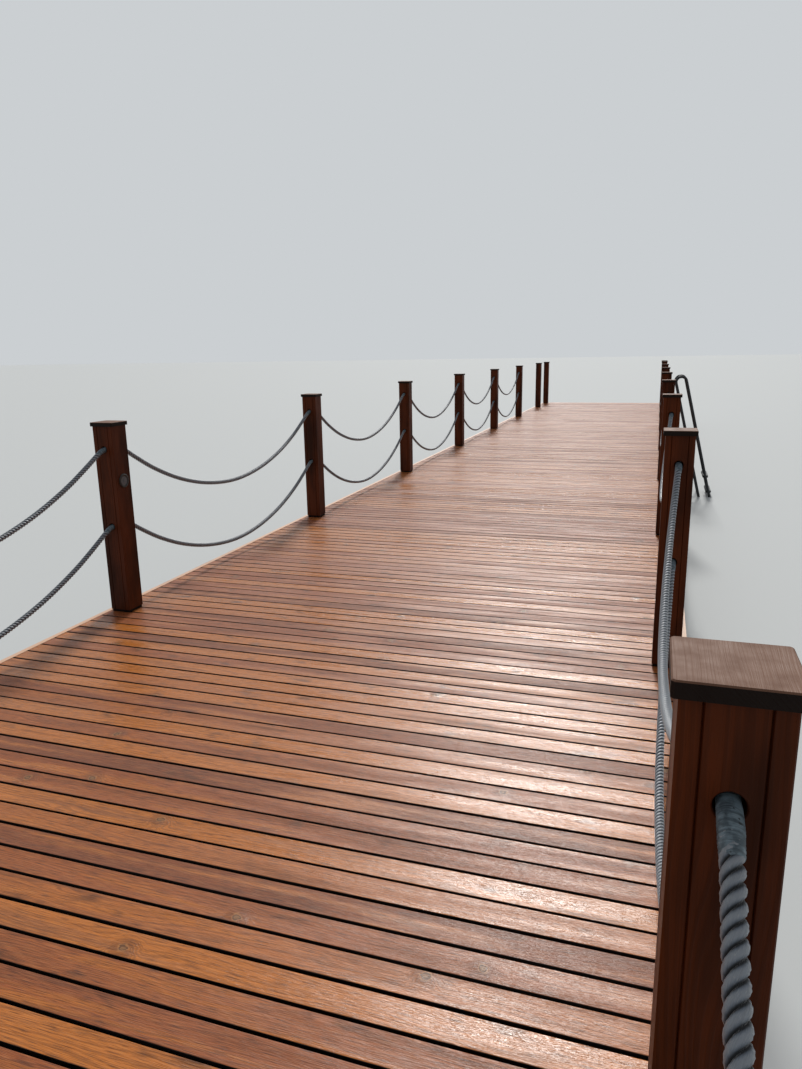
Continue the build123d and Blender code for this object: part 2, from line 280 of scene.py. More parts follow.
def stand(mesh, materials, slot, *nodes):
    """Makes the finished object at the origin, riding on the jetty, in place of its CAD nodes."""
    piece = bpy.data.objects.new(mesh.name, mesh)
    bpy.context.scene.collection.objects.link(piece)
    for material in materials:
        mesh.materials.append(material)
    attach(piece, "root")
    if nodes:
        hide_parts(*nodes)
    return piece


def finish_node(node, material):
    """Gives a CAD node that keeps its shape a real finish."""
    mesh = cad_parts[node].data
    mesh.materials.clear()
    mesh.materials.append(material)


def add(tree, kind, inputs=None, out=0, **settings):
    """Adds a node with its settings, fills or links its inputs, and gives one of its outputs."""
    node = tree.nodes.new("ShaderNode" + kind)
    for key, value in settings.items():
        setattr(node, key, value)
    for key, value in (inputs or {}).items():
        if isinstance(value, bpy.types.NodeSocket):
            tree.links.new(value, node.inputs[key])
        else:
            node.inputs[key].default_value = value
    return node.outputs[out] if node.outputs else None


def finish(name, sockets):
    """A material and its shader, whose own sockets hold the numbers that are the same all over."""
    material = bpy.data.materials.new(name)
    material.use_nodes = True
    tree = material.node_tree
    tree.nodes.clear()
    shader = add(tree, "BsdfPrincipled", sockets).node
    add(tree, "OutputMaterial", {"Surface": shader.outputs[0]})
    return material, tree, shader


def streaks(tree, place, sizes, detail=2.0):
    """A cloudy pattern from 0 to 1, with patches as long on each axis as sizes says, in mm."""
    scale = [MM / size for size in sizes] + [1.0] * (3 - len(sizes))
    shrunk = add(tree, "VectorMath", {0: place, 1: scale}, operation="MULTIPLY")
    return add(tree, "TexNoise", {"Vector": shrunk, "Scale": 1.0, "Detail": detail,
                                  "Roughness": 0.55}, noise_dimensions=f"{len(sizes)}D")


def coats(tree, tone, *layers):
    """Lays colours over a first one. A layer is a pattern, where it starts and where it is full,
    the share that it then covers, and its colour."""
    for pattern, start, full, share, over in layers:
        cover = add(tree, "MapRange", {0: pattern, 1: start, 2: full, 4: share},
                    interpolation_type="SMOOTHSTEP")
        tone = add(tree, "Mix", {0: cover, 6: tone, 7: over}, out=2, data_type="RGBA")
    return tone


def dress(tree, shader, tone, rough=None, relief=()):
    """Links a finish's colour, its roughness as a pattern with two ends, and its relief, which is
    patterns from 0 to 1 and the depth in metres that each is worth. The coat follows the relief."""
    tree.links.new(tone, shader.inputs["Base Color"])
    if rough:
        pattern, low, high = rough
        tree.links.new(add(tree, "MapRange", {0: pattern, 1: CLOUD_LOW, 2: CLOUD_HIGH,
                                              3: low, 4: high}), shader.inputs["Roughness"])
    height = 0.0
    for pattern, depth in relief:
        height = add(tree, "Math", {0: pattern, 1: depth, 2: height}, operation="MULTIPLY_ADD")
    raised = add(tree, "Bump", {"Height": height, "Distance": 1.0})
    tree.links.new(raised, shader.inputs["Normal"])
    tree.links.new(raised, shader.inputs["Coat Normal"])


def growth_rings(tree, plank, spacing, knots_apart):
    """Flat-sawn grain on plank coordinates, x along the grain and y across it, with sizes in mm.

    The ring count is the distance across, pushed about by slow noise that is stretched along the
    grain, plus a hump round each knot, which bends the rings into an eye there. Noise of the ring
    count alone gives rings of uneven width. The sockets are late wood from 0 to 1, fine pores from
    0 to 1, and the distance from a knot's heart, where 1 is a knot's size.
    """
    across = add(tree, "SeparateXYZ", {0: plank}, out=1)
    ragged = add(tree, "MapRange", {0: streaks(tree, plank, (33, 17), 1.0), 1: CLOUD_LOW,
                                    2: CLOUD_HIGH, 3: -KNOT_RAGGED, 4: KNOT_RAGGED})
    spots = add(tree, "TexVoronoi", {"Vector": plank, "Scale": MM / knots_apart},
                voronoi_dimensions="2D")
    away = add(tree, "Math", {0: spots, 1: knots_apart / KNOT_SIZE, 2: ragged},
               operation="MULTIPLY_ADD")
    hump = add(tree, "MapRange", {0: away, 1: KNOT_REACH, 2: 0.0},
               interpolation_type="SMOOTHSTEP")
    count = add(tree, "Math", {0: across, 1: MM / spacing}, operation="MULTIPLY")
    for pattern, push in ((streaks(tree, plank, (1100, 140)), GRAIN_DRIFT), (hump, KNOT_BEND)):
        count = add(tree, "Math", {0: pattern, 1: push / spacing, 2: count},
                    operation="MULTIPLY_ADD")
    rings = add(tree, "TexNoise", {"W": count, "Scale": 1.0, "Detail": 1.0},
                noise_dimensions="1D")
    late = add(tree, "MapRange", {0: rings, 1: 0.42, 2: 0.62}, interpolation_type="SMOOTHSTEP")
    return late, streaks(tree, plank, (60, 1.3)), away


def plank_lie(tree, along, across):
    """Plank coordinates from Object coordinates: each is a sum of x, y and z times three shares."""
    place = add(tree, "TexCoord", out="Object")
    sums = [add(tree, "VectorMath", {0: place, 1: shares}, out="Value", operation="DOT_PRODUCT")
            for shares in (along, across)]
    return place, add(tree, "CombineXYZ", {0: sums[0], 1: sums[1]})


def deck_varnish(deck):
    """Stained and oiled softwood decking, machined with eased edges: satin, warm and blotchy.

    Growth rings are about 5 mm apart and pores 1.3 mm wide. A knot about 20 mm wide comes every
    5 m of board or so, with a pale rim, a dark outline and a smudge, and stands up a little where
    the wood round it has worn. The darker boards have weathered duller, and the raised nap breaks
    up the shine. The sides of a board carry old stain and a near-black painted shade, which make
    the joints look black.
    """
    material, tree, shader = finish("stained_softwood_decking", {
        "Specular IOR Level": 0.22, "Coat Weight": 0.22, "Coat Roughness": 0.25})
    plank = add(tree, "UVMap", uv_map="plank")
    tint = add(tree, "Attribute", out="Fac", attribute_name="tint")
    late, pores, away = growth_rings(tree, plank, 5.2, 620)
    uneven = streaks(tree, plank, (760, 58), 4.0)
    smudge = streaks(tree, plank, (210, 80), 3.0)
    sides_shade_mask = add(tree, "SeparateXYZ", {0: add(tree, "NewGeometry", out="Normal")}, out=2)
    tone = coats(tree, deck.amber,
                 (tint, 0.28, 0.66, 1.0, deck.russet), (tint, 0.76, 1.0, 0.5, deck.plum),
                 (uneven, 0.52, 0.78, 0.6, deck.plum), (uneven, 0.52, 0.28, 0.8, deck.amber),
                 (smudge, 0.60, 0.80, 0.6, deck.knot), (late, 0.0, 1.0, 0.30, deck.knot),
                 (pores, 0.48, 0.72, 0.7, deck.knot), (pores, 0.46, 0.28, 0.25, deck.pale),
                 (away, 2.6, 0.6, 0.35, deck.knot), (away, 0.82, 0.64, 0.35, deck.pale),
                 (away, 0.60, 0.50, 0.70, deck.knot), (away, 0.42, 0.28, 0.30, deck.pale),
                 # painted shade: faces that turn away from up go near-black, darkening the joints
                 (sides_shade_mask, 0.95, 0.60, 1.0, deck.sides))
    darker = add(tree, "Math", {0: tint, 1: 0.5}, operation="SUBTRACT")
    dull = add(tree, "Math", {0: darker, 1: 0.40, 2: uneven}, operation="MULTIPLY_ADD")
    nap = streaks(tree, plank, (30, 3.2), 3.0)
    waves = streaks(tree, plank, (190, 60))
    knob = add(tree, "MapRange", {0: away, 1: 1.9, 2: 0.4}, interpolation_type="SMOOTHSTEP")
    dress(tree, shader, tone, (dull, 0.24, 0.66),
          ((late, 0.00010), (pores, 0.00022), (nap, 0.0007), (waves, 0.0019), (knob, 0.0010)))
    return material


def post_stain(timber):
    """Stained and oiled softwood boards glued up as a box: satin, darker and redder than the deck.

    The grain stands upright, and is further along in each post than in the one before. Across it
    goes along x plus y, so that faces towards any side show it.
    """
    material, tree, shader = finish("stained_softwood_posts", {"Specular IOR Level": 0.1})
    place, plank = plank_lie(tree, (0, 3.7, 1), (0.83, 0.71, 0))
    late, pores, away = growth_rings(tree, plank, 5.2, 750)
    wear = streaks(tree, place, (110, 110, 450), 3.0)
    height = add(tree, "SeparateXYZ", {0: place}, out=2)
    tone = coats(tree, timber.post,
                 (wear, 0.32, 0.72, 1.0, timber.post_dark),
                 (late, 0.0, 1.0, 0.28, timber.post_dark),
                 (pores, 0.5, 0.8, 0.3, timber.post_dark),
                 (away, 0.6, 0.4, 0.8, timber.post_knot),
                 # painted shade: black up the recessed foot of each post
                 (height, *FOOT_SHADE, 1.0, timber.post_foot_shade))
    dress(tree, shader, tone, (wear, 0.42, 0.60), ((late, 0.00015), (pores, 0.00015)))
    return material


def cap_weathering(timber):
    """Sun-bleached softwood cap: the stain has faded to a dry pinkish brown on top. Round the edge
    its darker old stain is painted nearly black as painted shade. The grain lies along y."""
    material, tree, shader = finish("sun_bleached_softwood_caps", {"Specular IOR Level": 0.15})
    place, plank = plank_lie(tree, (0, 1, 0), (1, 0, 1))
    late, pores = growth_rings(tree, plank, 5.0, 500)[:2]
    dust = streaks(tree, place, (38, 38, 38), 3.0)
    cap_shade_mask = add(tree, "SeparateXYZ", {0: add(tree, "NewGeometry", out="Normal")}, out=2)
    tone = coats(tree, timber.cap,
                 (dust, 0.35, 0.75, 0.6, timber.cap_dark), (late, 0.0, 1.0, 0.08, timber.cap_dark),
                 (pores, 0.5, 0.8, 0.12, timber.cap_dark),
                 # painted shade: faces that turn away from up go nearly black
                 (cap_shade_mask, 0.85, 0.35, 1.0, timber.cap_edge_shade))
    dress(tree, shader, tone, (dust, 0.52, 0.70), ((late, 0.00015), (pores, 0.00025)))
    return material


def fascia_wear(timber, name, plank_shares):
    """Stained softwood fascia with its top edge worn back to pale wood, deck level being 0.5 m."""
    material, tree, shader = finish(name, {"Coat Weight": 0.15, "Coat Roughness": 0.35})
    place, plank = plank_lie(tree, *plank_shares)
    late, pores, away = growth_rings(tree, plank, 5.5, 800)
    patches = streaks(tree, plank, (620, 50), 3.0)
    height = add(tree, "SeparateXYZ", {0: place}, out=2)
    rub = add(tree, "Math", {0: patches, 1: FASCIA_RAGGED, 2: height}, operation="MULTIPLY_ADD")
    tone = coats(tree, timber.fascia,
                 (patches, 0.35, 0.70, 1.0, timber.post), (late, 0.0, 1.0, 0.4, timber.post_dark),
                 (away, 0.6, 0.4, 0.7, timber.post_dark),
                 (rub, *FASCIA_WORN, 1.0, timber.fascia_worn))
    dress(tree, shader, tone, (patches, 0.42, 0.60), ((late, 0.00016), (pores, 0.00024)))
    return material


def frame_sawn(timber, name, plank_shares, splashed=False):
    """Rough-sawn, pressure-treated softwood below the deck, greyed, with damp patches.

    Where it stands in the water it is splashed, and weed covers it up to about 80 mm.
    """
    material, tree, shader = finish(name, {"Roughness": 0.8})
    place, plank = plank_lie(tree, *plank_shares)
    late, pores, away = growth_rings(tree, plank, 6.0, 700)
    damp = streaks(tree, place, (310, 310, 310), 3.0)
    layers = [(damp, 0.35, 0.70, 1.0, timber.frame_dark), (late, 0.0, 1.0, 0.5, timber.frame_dark),
              (pores, 0.5, 0.8, 0.3, timber.frame_dark), (away, 0.6, 0.4, 0.8, timber.post_dark)]
    if splashed:
        height = add(tree, "SeparateXYZ", {0: place}, out=2)
        edge = add(tree, "Math", {0: damp, 1: WEED_RAGGED, 2: height}, operation="MULTIPLY_ADD")
        layers.append((edge, *WEED, 1.0, timber.tide))
    tone = coats(tree, timber.frame_pale, *layers)
    dress(tree, shader, tone, None, ((late, 0.0004), (pores, 0.0006)))
    return material


def rope_fibre(ropes):
    """Three-strand synthetic rope, twisted and weathered: satin crowns, paler from rubbing and a
    painted highlight, and dull grooves darkened by dirt and painted shade.

    The map's x is the distance square to the yarns, and y runs along a strand. Yarns are 1.5 mm
    wide and lie along the rope, as they do on the crown of a strand.
    """
    material, tree, shader = finish("weathered_three_strand_rope", {
        "Sheen Weight": 0.4, "Sheen Roughness": 0.35})
    lie = add(tree, "UVMap", uv_map="lie")
    crown = add(tree, "Attribute", out="Fac", attribute_name="crown")
    yarns = streaks(tree, lie, (1.5, 26), 1.0)
    fluff = streaks(tree, lie, (0.5, 5), 2.0)
    faded = streaks(tree, add(tree, "TexCoord", out="Object"), (140, 140, 140))
    tone = coats(tree, ropes.fibre,
                 (faded, 0.35, 0.70, 0.40, ropes.faded),
                 (yarns, 0.44, 0.66, 0.22, ropes.fibre_dirt_and_shade),
                 (fluff, 0.55, 0.80, 0.3, ropes.fluff),
                 # painted highlight: paler towards each strand's crown
                 (crown, 0.60, 1.0, 0.30, ropes.crown),
                 # painted shade: darker down into the grooves between the strands
                 (crown, 0.84, 0.36, 1.0, ropes.fibre_dirt_and_shade))
    dress(tree, shader, tone, (crown, 0.85, 0.40), ((yarns, 0.0006), (fluff, 0.0003)))
    return material


def rope_wrap(ropes):
    """Shrunk tape round a rope's end: smooth, dull, grimy, and wrinkled crossways, with painted
    shade in its creases.
    """
    material, tree, shader = finish("shrunk_tape_wrap", {
        "Coat Weight": 0.1, "Coat Roughness": 0.3})
    lie = add(tree, "UVMap", uv_map="lie")
    creases = streaks(tree, lie, (60, 4.2), 3.0)
    grime = streaks(tree, lie, (17, 13), 4.0)
    spots = streaks(tree, lie, (9, 9), 1.0)
    tone = coats(tree, ropes.wrap,
                 (grime, 0.40, 0.66, 0.8, ropes.wrap_grime_and_crease_shade),
                 (grime, 0.40, 0.28, 0.5, ropes.wrap_pale),
                 # painted shade in the creases
                 (creases, 0.54, 0.66, 0.7, ropes.wrap_grime_and_crease_shade),
                 (spots, 0.70, 0.76, 0.9, ropes.wrap_spot))
    dress(tree, shader, tone, (grime, 0.42, 0.62), ((creases, 0.0014), (grime, 0.0006)))
    return material


def ladder_paint(metal, name, shade):
    """Painted steel: satin near-black with salt marks 30 mm wide and a little brown run-off. The
    light's cast ring and the zinc-coated bolts have dulled the same way, in their own colours."""
    material, tree, shader = finish(name, {"Specular IOR Level": 0.35})
    place = add(tree, "TexCoord", out="Object")
    salt = streaks(tree, place, (29, 29, 29), 4.0)
    runs = streaks(tree, place, (11, 11, 170))
    tone = coats(tree, shade, (salt, 0.58, 0.76, 0.28, metal.salt),
                 (runs, 0.60, 0.80, 0.3, metal.rust))
    dress(tree, shader, tone, (salt, 0.40, 0.65), ((salt, 0.0002),))
    return material


def lens_frost(metal):
    """Moulded polycarbonate lens, frosted and dulled outdoors, with specks 4 mm wide."""
    material, tree, shader = finish("frosted_polycarbonate_lens", {
        "Coat Weight": 0.3, "Coat Roughness": 0.15})
    specks = streaks(tree, add(tree, "TexCoord", out="Object"), (4, 4, 4))
    tone = coats(tree, metal.lens, (specks, 0.4, 0.7, 0.4, metal.speck))
    dress(tree, shader, tone, (specks, 0.35, 0.55), ((specks, 0.0002),))
    return material


def hung_line(points):
    """Points along the NURBS curve whose control points are a rope's route."""
    curve = bpy.data.curves.new("rope_line", "CURVE")
    curve.dimensions = "3D"
    curve.resolution_u = LINE_STEPS
    spline = curve.splines.new("NURBS")
    spline.points.add(len(points) - 1)
    spline.points.foreach_set("co", np.column_stack([points, np.ones(len(points))]).ravel())
    spline.order_u = 3
    spline.use_endpoint_u = True
    holder = bpy.data.objects.new("rope_line", curve)
    mesh = bpy.data.meshes.new_from_object(holder)
    line = np.empty(len(mesh.vertices) * 3, np.float32)
    mesh.vertices.foreach_get("co", line)
    bpy.data.meshes.remove(mesh)
    bpy.data.objects.remove(holder)
    bpy.data.curves.remove(curve)
    return line.reshape(-1, 3).astype(float)


def step_lengths(line):
    """Distances from each point of a line to the next."""
    return np.linalg.norm(np.diff(line, axis=0), axis=1)


def rings_along(line, places):
    """Centres at given distances along a line, with the sideways and upward axes of each ring.

    The sideways axis is +X less its part along the line. The upward one is the cross product of
    the line's direction and the sideways axis.
    """
    gone = np.concatenate([[0], np.cumsum(step_lengths(line))])
    behind, centres, ahead = [
        np.stack([np.interp(places + shift, gone, line[:, k]) for k in range(3)], 1)
        for shift in (-TANGENT_STEP, 0.0, TANGENT_STEP)]
    forward = ahead - behind
    forward /= np.linalg.norm(forward, axis=1)[:, None]
    sideways = np.array([1.0, 0, 0]) - forward[:, :1] * forward
    sideways /= np.linalg.norm(sideways, axis=1)[:, None]
    return centres, sideways, np.cross(forward, sideways)


def wrapped_faces(rings, around, first=0):
    """Faces of a closed tube of points, with each corner's ring and column for its UV map."""
    ring, column = np.meshgrid(np.arange(rings - 1), np.arange(around), indexing="ij")
    ring, column = ring.ravel()[:, None], column.ravel()[:, None]
    rows = ring + np.array([0, 0, 1, 1])
    columns = column + np.array([0, 1, 1, 0])
    return first + rows * around + columns % around, rows, columns


def strand_rings(line, places, ropes, turn):
    """Points of one strand, ring by ring, the slope of its helix, and the strand's radius.

    The strand's middle is the rope's middle plus a helix radius h outward, at an angle of 2 pi s /
    lay plus the strand's own turn. Each ring is a circle of the strand's radius a, square to the
    helix, whose slope k is 2 pi h / lay: middle + a (cos b outward + sin b sideways).
    """
    centres, right, upward = rings_along(line, places)
    angle = (2 * pi * places / ropes.lay + turn)[:, None]
    outward = np.cos(angle) * right + np.sin(angle) * upward
    onward = np.cos(angle) * upward - np.sin(angle) * right
    helix = HELIX_SHARE * ropes.diameter / 2
    size = ropes.diameter / 2 - helix
    slope = 2 * pi * helix / ropes.lay
    along = np.cross(right, upward) + slope * onward
    along /= np.linalg.norm(along, axis=1)[:, None]
    aside = np.cross(along, outward)
    round_it = np.radians(STRAND_ANGLES)[None, :, None]
    points = (centres + helix * outward)[:, None] + size * (
        np.cos(round_it) * outward[:, None] + np.sin(round_it) * aside[:, None])
    return points, slope, size


def sleeve_rings(line, ropes, back):
    """Points of the wrapped end in one post, ring by ring, and how far along the rope each is.

    The radius is half the sleeve's width, less a cosine of twice the angle round it, which makes
    it oval. Sines along it, bent by two more round it, wrinkle it crossways towards its open end,
    where it narrows and closes on to the strands.
    """
    depth = SLEEVE_SHARES * (-ROPE_ROUTE[0][0] + ropes.sleeve_length)
    around = np.linspace(0, 2 * pi, SLEEVE_POINTS, endpoint=False)
    share, deep = SLEEVE_SHARES[:, None], depth[:, None]
    oval = OVAL * np.cos(2 * around + deep * OVAL_TURN)
    bent = 1.7 * np.cos(around + 0.7) + np.sin(3 * around)
    wrinkled = np.interp(share, WRINKLED, (0, 1, 1, 0))
    wrinkles = WRINKLE * wrinkled * np.sin(deep * WRINKLE_PACE + bent)
    narrower = NARROWING * np.interp(share, (NARROWS_FROM, 1), (0, 1))
    radii = ropes.sleeve / 2 - oval + wrinkles - narrower
    radii[-1] = ropes.diameter * CLOSED_SHARE
    if back:
        depth, radii = step_lengths(line).sum() - depth[::-1], radii[::-1]
    centres, right, upward = rings_along(line, depth)
    return centres[:, None] + radii[..., None] * (
        np.cos(around)[:, None] * right[:, None] + np.sin(around)[:, None] * upward[:, None]), depth


def rope_mesh(name, line, ropes, rings_a_turn):
    """One rope as three strands twisted together, right-handed, with a wrapped end in each post.

    Its map is in metres, across and along the yarns, and its attribute crown is the cosine of the
    angle from a strand's outermost line, or 0 where that is below 0. The strands' faces come
    first, then the wrapped ends', then the strands' lids.
    """
    long = step_lengths(line).sum()
    places = np.linspace(0.0, long, int(long / ropes.lay * rings_a_turn) + 1)
    whole = np.radians(np.append(STRAND_ANGLES, STRAND_ANGLES[0] + 360))
    points, face_sets, us, vs, crowns, lids = [], [], [], [], [], []
    count = 0
    for turn in np.radians([0, 120, 240]):
        rings, slope, size = strand_rings(line, places, ropes, turn)
        around = rings.shape[1]
        faces, rows, columns = wrapped_faces(len(rings), around, count)
        gone = places * (1 + slope ** 2) ** 0.5
        us.append((whole[columns] * size + slope * gone[rows]).ravel())
        vs.append(gone[rows].ravel())
        points.append(rings.reshape(-1, 3))
        face_sets.append(faces)
        crowns.append(np.tile(np.cos(whole[:-1]).clip(0, 1), len(rings)))
        lids += [count + np.arange(around)[None, ::-1],
                 count + (len(rings) - 1) * around + np.arange(around)[None]]
        count += rings.shape[0] * around
    for back in (False, True):
        rings, depth = sleeve_rings(line, ropes, back)
        faces, rows, columns = wrapped_faces(len(rings), rings.shape[1], count)
        us.append((columns * 2 * pi / rings.shape[1]).ravel() * ropes.sleeve / 2)
        vs.append(depth[rows].ravel())
        points.append(rings.reshape(-1, 3))
        face_sets.append(faces)
        crowns.append(np.ones(rings.shape[0] * rings.shape[1]))
        count += rings.shape[0] * rings.shape[1]
    mesh = solid(name, np.concatenate(points), *face_sets, *lids)
    blank = np.zeros(sum(lid.size for lid in lids))
    lay_out(mesh, "lie", np.concatenate(us + [blank]), np.concatenate(vs + [blank]))
    mesh.attributes.new("crown", "FLOAT", "POINT").data.foreach_set(
        "value", np.concatenate(crowns).astype(np.float32))
    material = np.zeros(len(mesh.polygons), np.int32)
    strands = sum(len(faces) for faces in face_sets[:3])
    material[strands:len(material) - len(lids)] = 1
    mesh.polygons.foreach_set("material_index", material)
    return mesh


def rope_route(side, level, bay):
    """Control points of a hanging rope, from inside one post to inside the next.

    Each is as far past the post's outward face as the route says, its drop below the hole, and
    held to the left by the swing times the drop.
    """
    post = DECK_MIDDLE + (POST_OFFSET if side == "right" else -POST_OFFSET)
    face = POST_FACES[bay - 1] + POST_WIDTH
    if side == "left":
        swing = LEFT_SWING
    else:
        swing = 0.0 if bay == CALM_BAY else RIGHT_SWINGS[level]
    return np.array([(post - swing * drop, face + along, HOLE_HEIGHTS[level] - drop)
                     for along, drop in ROPE_ROUTE])


class JETTY_OT_ropes(bpy.types.Operator):
    """Lays the strands of every rope along its own hanging line"""
    bl_idname = "jetty.ropes"
    bl_label = "Ropes"

    def execute(self, context):
        ropes = context.scene.jetty.ropes
        fibre, wrap = rope_fibre(ropes), rope_wrap(ropes)
        hung = [(side, level, bay) for side in ROPED_BAYS for level in HOLE_HEIGHTS
                for bay in ROPED_BAYS[side]]
        for side, level, bay in hung:
            route = rope_route(side, level, bay)
            line = hung_line(route)
            node = f"rope_{side}_{level}_{bay}"
            mesh = rope_mesh(f"strands_{side}_{level}_{bay}", line, ropes,
                             NEAR_RINGS if bay in NEAR_BAYS else FAR_RINGS)
            piece = stand(mesh, [fibre, wrap], "rope", node)
        return {"FINISHED"}


def board_profile(width, thick, edge):
    """A board's section as points (across, down), anticlockwise seen from +X, eased on top.

    Each top edge is a quarter circle of the edge radius, in three steps, and one more point
    beside it keeps the top flat in the light.
    """
    half = width / 2
    turn = np.radians([0.0, 30.0, 60.0, 90.0])
    right = np.stack([half - edge + edge * np.cos(turn), -edge + edge * np.sin(turn)], 1)
    right = np.concatenate([right, [(half - FLAT_FROM * edge, 0.0)]])
    left = np.stack([-right[::-1, 0], right[::-1, 1]], 1)
    return np.concatenate([[(-half, -thick), (half, -thick)], right, [(0.0, 0.0)], left])


def board_rings(section):
    """Points of one board, a section at each ring, and the rings' distances along it.

    At its two ends the section is narrower in proportion to its width, by the easing on each
    side, and its upper part is lower by as much.
    """
    wide = DECK_HIGH.x - DECK_LOW.x
    places = np.concatenate([END_RINGS, wide - END_RINGS[::-1]])
    ease = np.concatenate([END_EASE, END_EASE[::-1]])[:, None]
    y = section[:, 0] * (1 - ease / np.abs(section[:, 0]).max())
    z = section[:, 1] - ease * (section[:, 1] > -EASED_DEPTH)
    x = np.broadcast_to(DECK_LOW.x + places[:, None], y.shape)
    return np.stack([x, y, z], -1), places


class JETTY_OT_deck_boards(bpy.types.Operator):
    """Lays the deck boards, each a little off level and with its own stain"""
    bl_idname = "jetty.deck_boards"
    bl_label = "Deck boards"

    def execute(self, context):
        deck = context.scene.jetty.deck
        chance = np.random.default_rng(SEED)
        count = deck.boards
        pitch = (DECK_HIGH.y - DECK_LOW.y + deck.gap) / count
        section = board_profile(pitch - deck.gap, DECK_HIGH.z - DECK_LOW.z, deck.edge)
        shape, places = board_rings(section)
        rolls = chance.normal(0, ROLL_SPREAD, count).clip(-ROLL_MOST, ROLL_MOST)[:, None, None]
        drops = np.abs(chance.normal(0, DROP_SPREAD, count)).clip(0, DROP_MOST)[:, None, None]
        cups = chance.normal(0, CUP_SPREAD, count).clip(-CUP_MOST, CUP_MOST)[:, None, None]
        middles = DECK_LOW.y + pitch * (np.arange(count) + 0.5) - deck.gap / 2
        half = np.abs(section[:, 0]).max()
        # Across a board, y from its middle, the top is roll times y, and where the cup is below 0
        # it is dished by twice the cup times 1 - (y / half) squared. The board is then let down by
        # its drop and by what the roll lifts its edge.
        points = np.broadcast_to(shape, (count,) + shape.shape).copy()
        hollow = (1 - (points[..., 1] / half) ** 2) * cups
        points[..., 2] += rolls * points[..., 1] + hollow - np.abs(hollow)
        points[..., 2] += DECK_HIGH.z - drops - np.abs(rolls) * half
        points[..., 1] += middles[:, None, None]

        around = len(section)
        one, rows, columns = wrapped_faces(len(places), around)
        each = len(places) * around
        firsts = each * np.arange(count)[:, None]
        faces = (one[None] + firsts[..., None]).reshape(-1, 4)
        near = np.arange(around)[::-1] + firsts
        far = np.arange(around) + each - around + firsts
        mesh = solid("deck_boards", points.reshape(-1, 3), faces, near, far)

        steps = np.linalg.norm(np.roll(section, -1, 0) - section, axis=1)
        round_it = np.concatenate([[0], np.cumsum(steps)])
        first_along = chance.uniform(0, GRAIN_RANGE, count)[:, None]
        first_across = chance.uniform(0, GRAIN_RANGE, count)[:, None]
        along = places[rows] + first_along[..., None]
        across = round_it[columns] + first_across[..., None]
        end_along = np.repeat(first_along, around)
        end_across = section[:, 0] + first_across
        lay_out(mesh, "plank", np.concatenate([along.ravel(), end_along, end_along]),
                np.concatenate([across.ravel(), end_across[:, ::-1].ravel(), end_across.ravel()]))
        tint = np.repeat(chance.uniform(0, 1, count), each)
        mesh.attributes.new("tint", "FLOAT", "POINT").data.foreach_set(
            "value", tint.astype(np.float32))
        mesh.set_sharp_from_angle(angle=BOARD_CREASE)
        stand(mesh, [deck_varnish(deck)], "deck_boards", "deck")
        return {"FINISHED"}


class JETTY_OT_timber(bpy.types.Operator):
    """Finishes the posts, their caps, the fascias and the frame under the deck"""
    bl_idname = "jetty.timber"
    bl_label = "Posts, caps and frame"

    def execute(self, context):
        timber = context.scene.jetty.timber
        post, cap = post_stain(timber), cap_weathering(timber)
        for side in ("left", "right"):
            finish_node(f"posts_{side}", post)
            finish_node(f"post_caps_{side}", cap)
        lengthways, crossways = ((0, 1, 0), (1, 0, 1)), ((1, 0, 0), (0, 1, 1))
        upright = ((0, 0, 1), (0.8, 0.8, 0))
        long_fascia = fascia_wear(timber, "worn_softwood_side_fascias", lengthways)
        end_fascia = fascia_wear(timber, "worn_softwood_end_fascias", crossways)
        for node, material in (
                ("fascia_left", long_fascia), ("fascia_right", long_fascia),
                ("fascia_shore", end_fascia), ("fascia_head", end_fascia),
                ("joists", frame_sawn(timber, "sawn_softwood_joists", lengthways)),
                ("bearers", frame_sawn(timber, "sawn_softwood_bearers", crossways)),
                ("piles", frame_sawn(timber, "peeled_softwood_piles", upright, splashed=True))):
            finish_node(node, material)
        return {"FINISHED"}


def bolt_heads(name, places):
    """Hexagon heads on washers, pointing along +X from each place, as one mesh.

    A head's outline at an angle t is the distance to its flats over the cosine of t's distance
    from the middle of the nearest flat.
    """
    around = np.radians(np.arange(0, 360, 15))
    outline = BOLT_FLAT / np.cos((around + BOLT_CORNERS / 2) % BOLT_CORNERS - BOLT_CORNERS / 2)
    radii = np.stack([outline if radius is None else np.full(len(around), radius)
                      for out, radius in BOLT_RINGS])
    out = np.broadcast_to(np.array([[out] for out, radius in BOLT_RINGS]), radii.shape)
    one = np.stack([out, radii * np.cos(around), radii * np.sin(around)], -1).reshape(-1, 3)
    starts = len(one) * np.arange(len(places))[:, None]
    faces = wrapped_faces(len(BOLT_RINGS), len(around))[0]
    lid = np.arange(len(around)) + len(one) - len(around)
    mesh = solid(name, (places[:, None] + one).reshape(-1, 3),
                 (faces[None] + starts[..., None]).reshape(-1, 4), lid[None] + starts,
                 np.arange(len(around))[None, ::-1] + starts)
    mesh.set_sharp_from_angle(angle=BOLT_CREASE)
    return mesh


